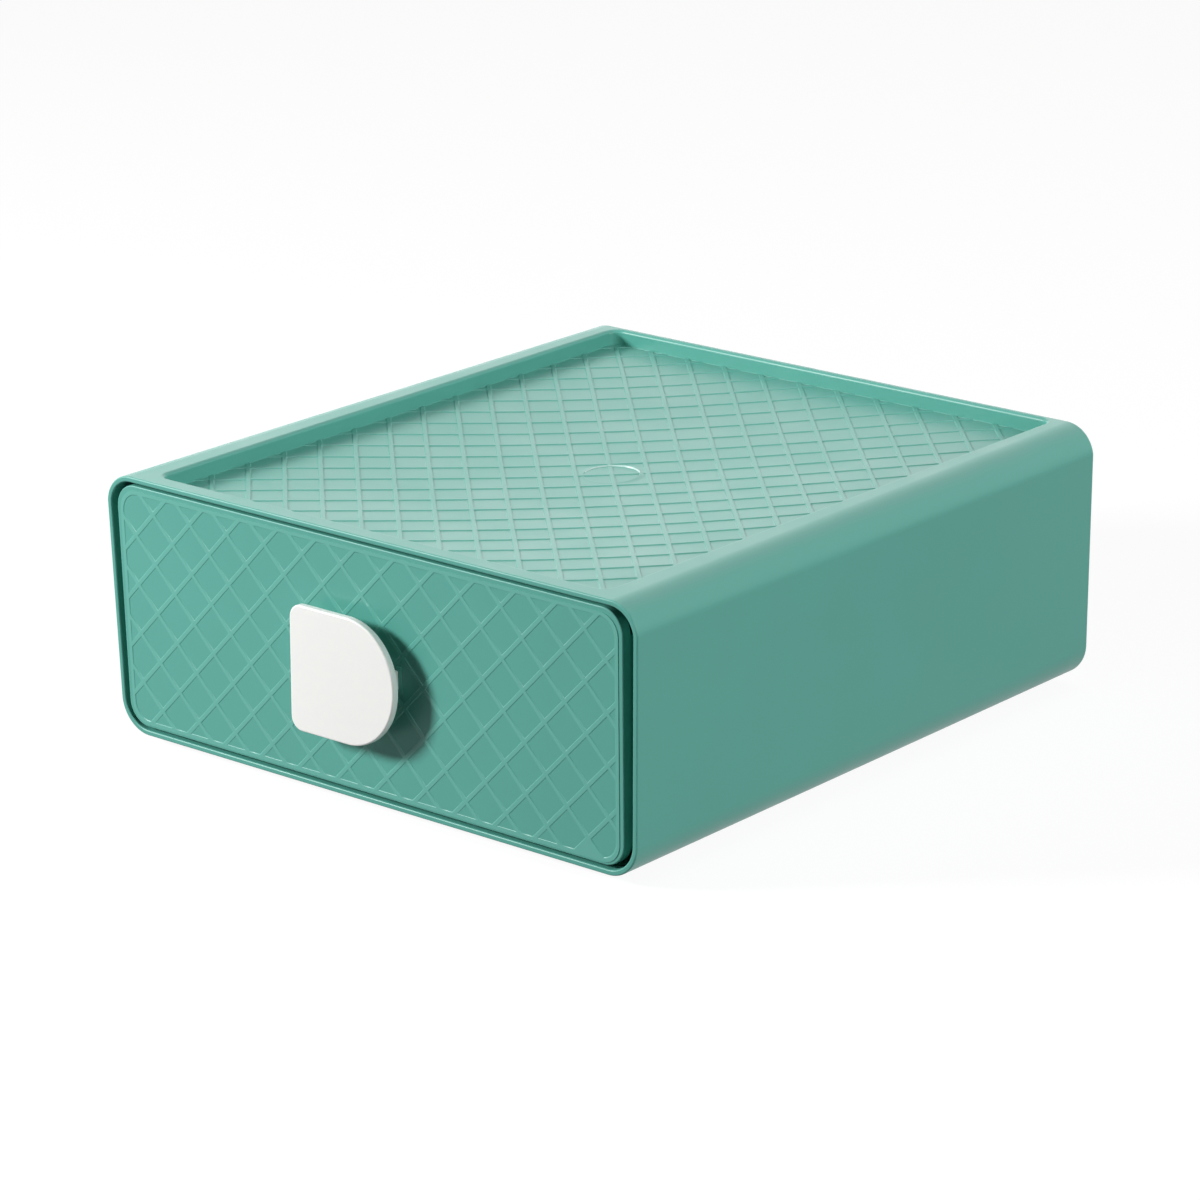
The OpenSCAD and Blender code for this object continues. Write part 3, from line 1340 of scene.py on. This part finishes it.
@dataclass
class Drawer:
    """The drawer: a latticed front in one with its tray, a stop lip, and a pad that the handle rests on.

    Attributes:
        front: the outline of the front.
        pattern: where the floor of the front's lattice ends.
        rib_backset: how far the tops of the ribs stand behind the mouth.
        plain_backset: how far the plain plate stands behind the floor of the lattice.
        tray: the cross-section of the tray, which tray_top cuts off.
        tray_back: the depth at which the tray ends.
        slack: how much wider than the tray its plan is, on each side.
    """

    front_thickness: float = 3.0
    front_corner_steps: int = 12
    front_edge: Round = Round(0.35, 5)
    front: Outline = Outline(78.45, 79.25, 8.9, 61.3, 6.5)
    pattern: Outline = Outline(77.7, 78.5, 9.0, 60.6, 5.0)
    rib_backset: float = 0.01
    plain_backset: float = 0.02
    lattice: Lattice = Lattice(
        ((0.05, 0.012), (0.09, 0.046), (0.08, 0.062), (0.06, 0.020)),
        Centre.DIAMOND,
        shift=(-DRAWER_PLAY, -0.35),
        frame=0.45,
        two_finishes=True,
    )
    tray: Outline = Outline(77.4, 78.9, 9.6, 76.7, 6.7)
    tray_top: float = 60.8
    tray_back: float = 182.5
    tray_wall: float = 1.4
    tray_edge_steps: int = 12
    back_round: Round = Round(6.0, 8)
    rim_edge: Round = Round(0.4, 3)
    slack: float = 0.2
    lip_width: float = 40.0
    lip_thickness: float = 2.0
    lip_heights: Span = (1.8, 3.2)
    pad_width: float = 27.0
    pad_height: float = 7.0
    pad_backset: float = 0.01
    soft_edge: float = 0.2
    slot_width: float = 23.2
    slot_height: float = 3.2

    def cut_slot(self, obj: Object) -> None:
        """Cuts the slot that the handle's blade passes through.

        Args:
            obj: the piece that is cut.
        """
        depths = (-PAST, self.front_thickness + PAST)
        slot = box_corners(self.slot_width, depths, at_handle(self.slot_height))
        carve(obj, block("slot_form", *slot), Carving.CUT)

    def front_plate(self) -> Object:
        """The front: a plain plate with a small round on its edge and the handle's slot.

        Returns:
            A closed piece that stands at the mouth.
        """
        obj = self.front.face("drawer_front", 0, self.front_corner_steps)
        face = self.front_thickness - self.rib_backset - self.lattice.depth - self.plain_backset
        raise_face(obj, face - self.front_edge.radius, self.front_edge.insets())
        turn_upright(obj, (0, MOUTH_Y + self.front_thickness, UNDERSIDE_Z))
        self.cut_slot(obj)
        return obj

    def front_lattice(self) -> Object:
        """The ribs on the front and the thin skin that carries them.

        Returns:
            A closed piece.
        """
        rib_top = self.front_thickness - self.rib_backset
        obj = self.lattice.plate("front_lattice", self.pattern, HANDLE_HEIGHT, rib_top)
        turn_upright(obj, (0, MOUTH_Y + self.front_thickness, UNDERSIDE_Z))
        return obj

    def tray_form(self, inset: float, front: float, top: float) -> Object:
        """A closed form of the tray: a tapered bar with round lower edges, cut to its plan.

        Args:
            inset: how far it is moved in.
            front: the depth at which it starts.
            top: the height at which it ends.

        Returns:
            The form.
        """
        low = self.tray.low_y - self.tray.radius + inset
        back = self.tray_back - inset
        shape = self.tray.grown(-inset)
        bar = drawn_block("tray_form", (front, back), (low, top), lambda y, z: shape.side_x(z) - y * DRAFT)
        edge = Round(shape.radius, self.tray_edge_steps)
        round_edges(bar, lambda e: runs(e, Axis.Y) and both(e, Axis.Z, UNDERSIDE_Z + low), edge)
        half = self.tray.high_x + self.tray.radius + self.slack - inset
        plan = drawn_block(
            "plan_form", (front - PAST, back), (low - PAST, top + PAST), lambda y, z: half - y * DRAFT
        )
        corner = Round(self.back_round.radius - inset, self.back_round.steps)
        round_edges(plan, lambda e: runs(e, Axis.Z) and both(e, Axis.Y, MOUTH_Y + back), corner)
        carve(bar, plan, Carving.KEEP)
        return bar

    def tray_walls(self) -> Object:
        """The tray behind the front, with softly rounded rims.

        Returns:
            A closed piece.
        """
        obj = self.tray_form(0, self.front_thickness - SUNK, self.tray_top)
        hollow = self.tray_form(self.tray_wall, self.front_thickness - PAST, self.tray_top + 5 * PAST)
        carve(obj, hollow, Carving.CUT)
        obj.name = "drawer_tray"
        rim, behind = UNDERSIDE_Z + self.tray_top, MOUTH_Y + self.front_thickness
        round_edges(
            obj, lambda e: both(e, Axis.Z, rim) and is_corner(e) and mid(e).y > behind, self.rim_edge
        )
        return obj

    def lip(self) -> Object:
        """The lip under the back of the tray, which meets the stop ridge.

        Returns:
            A closed piece.
        """
        depths = (self.tray_back - self.lip_thickness, self.tray_back)
        place = box_corners(self.lip_width, depths, self.lip_heights)
        return soft_block("stop_lip", *place, self.soft_edge)

    def pad(self) -> Object:
        """The plain pad in the lattice that the handle's tongue rests on, with the handle's slot.

        Returns:
            A closed piece.
        """
        depths = (self.pad_backset, self.front_thickness / 2)
        place = box_corners(self.pad_width, depths, at_handle(self.pad_height))
        obj = soft_block("handle_pad", *place, self.soft_edge)
        self.cut_slot(obj)
        return obj

    def build(self, plastic: Material, rib: Material) -> list[Object]:
        """Builds and dresses every piece of the drawer.

        Args:
            plastic: the green plastic.
            rib: the material of the tops of the ribs on the front, smoother than the rest and lighter in
                colour as a painted sheen.

        Returns:
            The finished pieces.
        """
        made = [self.front_plate(), self.pad(), self.front_lattice(), self.tray_walls(), self.lip()]
        for piece in made:
            move_across(piece, DRAWER_PLAY)
        return [finish_piece(obj, DRAWER, plastic, rib) for obj in made]


# ---- Handle ----


@dataclass
class Handle:
    """The white handle: a D-shaped plate on a flat tongue, with a snap blade behind it.

    Attributes:
        gap: from the back of the plate to the mouth.
        round_end: how much of the plate's width its round end takes up.
        lean: the angle by which the plate's upper end leans back.
        offset: how far the plate stands to the right of the slot's middle and above it.
        blade_back: the depth at which the barbs start.
        barb: how far a barb stands out.
        barb_step, barb_length: over what length a barb rises, and runs out to the tip.
        tip_height: the height of the blade's tip.
    """

    width: float = 35.3
    height: float = 33.0
    thickness: float = 2.0
    gap: float = 4.9
    round_end: float = 16.0
    round_corners: int = 128
    lean: float = 0.03
    offset: tuple[float, float] = (-0.55, -0.95)
    corner: Round = Round(3.7, 10)
    edge: Round = Round(0.5, 8)
    back_edge: Round = Round(0.35, 3)
    tongue_width: float = 25.0
    tongue_height: float = 5.0
    tongue_edge: float = 0.3
    blade_width: float = 23.0
    blade_height: float = 3.0
    blade_back: float = 3.1
    barb: float = 0.9
    barb_step: float = 0.02
    barb_length: float = 3.0
    tip_height: float = 1.5

    def plate_outline(self) -> Object:
        """The plate's flat outline: half of it a disc, drawn out to a flat side with two round corners.

        Returns:
            A single face.
        """
        radius = self.height / 2
        centre = self.width / 2 - self.round_end
        flat_side = -self.width / 2
        obj = disc("handle_plate", (centre, 0, 0), radius, self.round_corners)
        with editing(obj, Pick.FACE):
            bpy.ops.mesh.select_all(action="SELECT")
            bpy.ops.transform.resize(value=(self.round_end / radius, 1, 1), center_override=(centre, 0, 0))
            bpy.ops.mesh.bisect(plane_co=(centre, 0, 0), plane_no=(-1, 0, 0), clear_outer=True)
        with editing(obj, Pick.EDGE):
            choose(obj, Pick.EDGE, lambda e: both(e, Axis.X, centre) and e.calc_length() > radius)
            extrude((flat_side - centre, 0, 0))
        with editing(obj, Pick.FACE):
            bpy.ops.mesh.select_all(action="SELECT")
            bpy.ops.mesh.dissolve_limited(angle_limit=math.radians(0.2))
            bpy.ops.mesh.normals_make_consistent(inside=False)
        with editing(obj, Pick.VERT):
            choose(obj, Pick.VERT, lambda v: near(v.co.x, flat_side))
            bpy.ops.mesh.bevel(offset=self.corner.radius, segments=self.corner.steps, affect="VERTICES")
        if obj.data.polygons[0].normal.z < 0:
            with editing(obj, Pick.FACE):
                bpy.ops.mesh.select_all(action="SELECT")
                bpy.ops.mesh.flip_normals()
        return obj

    def plate(self) -> Object:
        """The plate, with its rounded edges.

        Returns:
            A closed piece that stands before the drawer's front.
        """
        obj = self.plate_outline()
        raise_face(obj, self.thickness - self.edge.radius, self.edge.insets())
        round_edges(obj, lambda e: both(e, Axis.Z, 0), self.back_edge)
        height = UNDERSIDE_Z + HANDLE_HEIGHT + self.offset[1]
        turn_upright(obj, (self.offset[0], MOUTH_Y - self.gap, height), self.lean)
        return obj

    def tongue(self) -> Object:
        """The flat tongue between the plate and the drawer's front.

        Returns:
            A closed piece.
        """
        depths = (-self.gap - self.thickness / 2, 0)
        place = box_corners(self.tongue_width, depths, at_handle(self.tongue_height))
        return soft_block("handle_tongue", *place, self.tongue_edge)

    def blade(self) -> Object:
        """The blade that passes through the slot, with a barb above and below behind the front.

        Returns:
            A closed piece.
        """
        heights = at_handle(self.blade_height)
        obj = block("handle_blade", *box_corners(self.blade_width, (-PAST, self.blade_back), heights))
        middle = (0, MOUTH_Y + self.blade_back, UNDERSIDE_Z + HANDLE_HEIGHT)
        barbed = self.blade_height + 2 * self.barb
        with editing(obj, Pick.FACE):
            choose(obj, Pick.FACE, lambda f: f.normal.y > SQUARE)
            for length, scale in (
                (self.barb_step, barbed / self.blade_height),
                (self.barb_length, self.tip_height / barbed),
            ):
                extrude((0, length, 0))
                bpy.ops.transform.resize(value=(1, 1, scale), center_override=middle)
        return obj

    def build(self, plastic: Material) -> list[Object]:
        """Builds and dresses every piece of the handle.

        Args:
            plastic: the white plastic.

        Returns:
            The finished pieces.
        """
        made = [self.plate(), self.tongue(), self.blade()]
        for piece in made:
            move_across(piece, DRAWER_PLAY)
        return [finish_piece(obj, HANDLE, plastic) for obj in made]


# ---- Studio ----


def put_in_scene(name: str, data: bpy.types.ID) -> Object:
    """Makes an object of a camera or a lamp.

    Args:
        name: the object's name.
        data: the camera's or the lamp's data.

    Returns:
        The new object.
    """
    obj = bpy.data.objects.new(name, data)
    bpy.context.scene.collection.objects.link(obj)
    return obj


@dataclass(frozen=True)
class Camera:
    """The camera.

    Attributes:
        place: where it stands, in metres.
        right, down, ahead: its axes.
        focal: the length of its lens, in pixels of the picture.
        offset: how far the picture is shifted, in pixels to the right and down.
        frame_width: the width of the picture in pixels.
        sensor: the width of its sensor, in millimetres.
        sees_to: how far it sees, in metres.
    """

    place: Point = (0.78523, -0.89063, 0.42809)
    right: Point = (0.754245, 0.656295, -0.019772)
    down: Point = (0.193611, -0.251078, -0.948406)
    ahead: Point = (-0.627399, 0.711503, -0.31644)
    focal: float = 4794.48
    offset: tuple[float, float] = (0.49, 0.85)
    frame_width: float = 1200.0
    sensor: float = 36.0
    sees_to: float = 100.0

    def build(self) -> None:
        """Makes the camera and makes it the scene's."""
        data = bpy.data.cameras.new("camera")
        data.sensor_fit = "HORIZONTAL"
        data.sensor_width = self.sensor
        data.lens = self.focal / self.frame_width * self.sensor
        data.shift_x = -self.offset[0] / self.frame_width
        data.shift_y = self.offset[1] / self.frame_width
        data.clip_end = self.sees_to
        obj = put_in_scene("camera", data)
        turned = Matrix((Vector(self.right), -Vector(self.down), -Vector(self.ahead))).transposed().to_4x4()
        obj.matrix_world = Matrix.Translation(self.place) @ turned
        bpy.context.scene.camera = obj


@dataclass(frozen=True)
class Lamp:
    """A soft square lamp that points at the box.

    Attributes:
        name: the lamp's name.
        direction: where it stands, seen from the box.
        distance: how far away, in metres.
        size: the length of its side, in metres.
        level: how brightly a white face turned to it renders.
        aim: what it points at, in metres.
    """

    name: str
    direction: Point
    distance: float
    size: float
    level: float
    aim: Point = (0.0, 0.0, 0.035)

    def build(self) -> None:
        """Makes the lamp."""
        data = bpy.data.lights.new(self.name, "AREA")
        data.shape = "SQUARE"
        data.size = self.size
        data.energy = self.level * math.pi**2 * self.distance**2
        towards = Vector(self.direction).normalized()
        place = Matrix.Translation(Vector(self.aim) + towards * self.distance)
        obj = put_in_scene(self.name, data)
        obj.matrix_world = place @ towards.to_track_quat("Z", "Y").to_matrix().to_4x4()


@dataclass(frozen=True)
class Studio:
    """A white floor under a white sky, with soft lamps at a plain level.

    Attributes:
        sky: how strongly the sky lights the box.
        sky_seen: how bright the sky is for the camera and in reflections.
        floor_grey: how much light the floor throws back.
        floor_glow: how bright the floor is for the camera and in reflections, apart from its lit part.
        floor_size: the length of its side, in metres.
        lamps: the lamps.
    """

    sky: float = 0.04
    sky_seen: float = 2.3
    floor_grey: float = 0.14
    floor_glow: float = 0.91
    floor_size: float = 30.0
    lamps: tuple[Lamp, ...] = (
        Lamp("key", (-0.63, -0.69, 0.37), 1.15, 0.22, 1.21),
        Lamp("top_light", (0.1, 0.35, 0.93), 1.6, 1.2, 0.16),
        Lamp("right_fill", (0.95, 0.02, 0.31), 1.5, 0.6, 0.65),
    )

    def seen(self, tree: Tree) -> Socket:
        """Adds a switch for what is only seen and lights nothing matt.

        Args:
            tree: the nodes that it is added to.

        Returns:
            A socket that is 1 for camera, glossy and transmission rays and 0 for the rest.
        """
        rays = add_node(tree, "LightPath").outputs
        total = rays["Is Camera Ray"]
        for word in ("Is Glossy Ray", "Is Transmission Ray"):
            add = add_node(tree, "Math", {0: total, 1: rays[word]})
            add.operation = "ADD"
            add.use_clamp = True
            total = add.outputs[0]
        return total

    def build_sky(self) -> None:
        """Lights the scene evenly with a low white sky that the camera and reflections see as full white."""
        world = bpy.data.worlds.new("sky")
        world.use_nodes = True
        tree = world.node_tree
        levels = {"Value": self.seen(tree), "To Min": self.sky, "To Max": self.sky_seen}
        strength = add_node(tree, "MapRange", levels).outputs["Result"]
        fill(tree, tree.nodes["Background"], {"Color": (1, 1, 1, 1), "Strength": strength})
        bpy.context.scene.world = world

    def floor_material(self) -> Material:
        """The floor's material, which is white where it is seen and keeps the box's shadow.

        Returns:
            The material.
        """
        made = bpy.data.materials.new("white_floor")
        made.use_nodes = True
        tree = made.node_tree
        tree.nodes.remove(tree.nodes["Principled BSDF"])
        matt = add_node(tree, "BsdfDiffuse", {"Color": (self.floor_grey,) * 3 + (1,)})
        level = add_node(tree, "Math", {0: self.seen(tree), 1: self.floor_glow})
        level.operation = "MULTIPLY"
        glow = add_node(tree, "Emission", {"Strength": level.outputs[0]})
        joined = add_node(tree, "AddShader", {0: matt.outputs[0], 1: glow.outputs[0]})
        fill(tree, tree.nodes["Material Output"], {"Surface": joined.outputs[0]})
        return made

    def build_floor(self) -> None:
        """Lays the floor that the box stands on."""
        deselect_all()
        bpy.ops.mesh.primitive_plane_add(size=self.floor_size, location=(0, 0, 0))
        floor = bpy.context.object
        floor.name = "floor"
        floor.data.materials.append(self.floor_material())

    def build(self) -> None:
        """Makes the sky, the floor and the lamps."""
        bpy.context.scene.view_settings.view_transform = "Standard"
        self.build_sky()
        self.build_floor()
        for lamp in self.lamps:
            lamp.build()


def main() -> None:
    """Builds the box and its studio and reports each piece."""
    logging.basicConfig(level=logging.INFO, format="%(name)s: %(message)s")
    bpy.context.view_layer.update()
    Camera().build()
    green = GREEN.material()
    pieces = Casing().build(green, GATE_WALL_HIGHLIGHT.material())
    pieces += Drawer().build(green, GREEN_RIB_SHEEN.material())
    pieces += Handle().build(WHITE.material())
    Studio().build()
    log.info("%d pieces", len(pieces))


if __name__ == "__main__":
    main()
